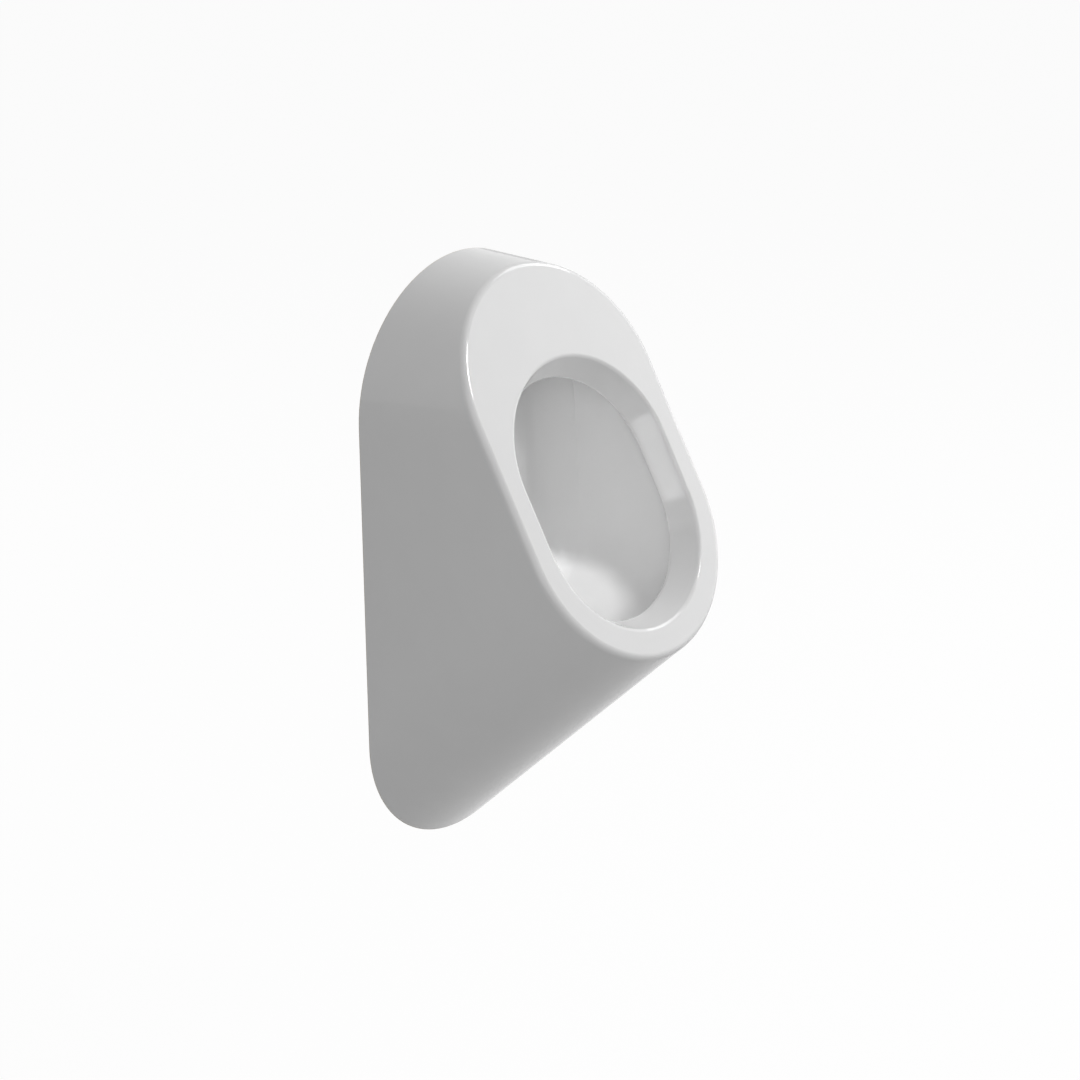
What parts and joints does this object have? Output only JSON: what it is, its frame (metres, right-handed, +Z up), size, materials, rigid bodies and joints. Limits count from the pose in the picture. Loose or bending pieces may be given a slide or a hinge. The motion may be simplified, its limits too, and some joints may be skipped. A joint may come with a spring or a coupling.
{
  "type": "wall hung urinal",
  "caption": "Wall hung china urinal with a tilted oval face and opening, rear flush inlet, lift-out strainer and a bottle trap concealed in the hollow under the bowl.",
  "frame": {"origin": "lowest point of the back, on the wall face and on the centre line", "axes": "+Z up, -Y out from the wall to the user, X across, the china is symmetric about X = 0"},
  "size_m": [0.3, 0.3293, 0.6548],
  "materials": {
    "glazed_china": "glossy white glaze",
    "rubber_black": "moulded black rubber",
    "chromed_brass": "polished chrome plate",
    "stainless": "brushed stainless steel",
    "white_polypropylene": "moulded white polypropylene",
    "grey_polypropylene": "moulded grey polypropylene",
    "brass": "machined brass",
    "zinc_steel": "bright zinc plate",
    "nylon_grey": "moulded nylon",
    "fibre_red": "vulcanised fibre washer"
  },
  "bodies": {
    "urinal": {"ceramic_body": "glazed_china", "waste_gasket": "rubber_black", "waste_flange": "stainless", "trap_seal": "rubber_black", "trap_head": "white_polypropylene", "dip_tube": "white_polypropylene", "outlet_seal": "rubber_black", "outlet_nut": "white_polypropylene", "outlet_pipe": "grey_polypropylene", "nozzle_gasket": "rubber_black", "flush_nozzle": "chromed_brass", "back_washer": "fibre_red", "nozzle_backnut": "brass", "flush_seal": "rubber_black", "flush_union_nut": "brass", "flush_pipe": "chromed_brass", "hanger_left": "zinc_steel", "hanger_right": "zinc_steel", "hanger_pad_left": "nylon_grey", "hanger_pad_right": "nylon_grey", "wall_washers": "zinc_steel", "wall_screws": "zinc_steel"},
    "strainer": {"strainer": "stainless"},
    "cup_seal": {"trap_cup_seal": "rubber_black"},
    "cup": {"trap_cup": "white_polypropylene"}
  },
  "joints": [
    {"name": "strainer_lift", "type": "slide", "parent": "urinal", "child": "strainer", "axis": [0, 0, 1], "range_m": [0, 0.06]},
    {"name": "cup_drop", "type": "slide", "parent": "urinal", "child": "cup_seal", "axis": [0, 0, -1], "range_m": [0, 0.0046]},
    {"name": "cup_unscrew", "type": "hinge", "parent": "cup_seal", "child": "cup", "pos_m": [0, -0.09, 0.15493], "axis": [0, 0, -1], "range_deg": [0, 540]}
  ],
  "couplings": [
    {"joint": "cup_drop", "follows": "cup_unscrew", "m_per_rad": 0.00047746}
  ]
}
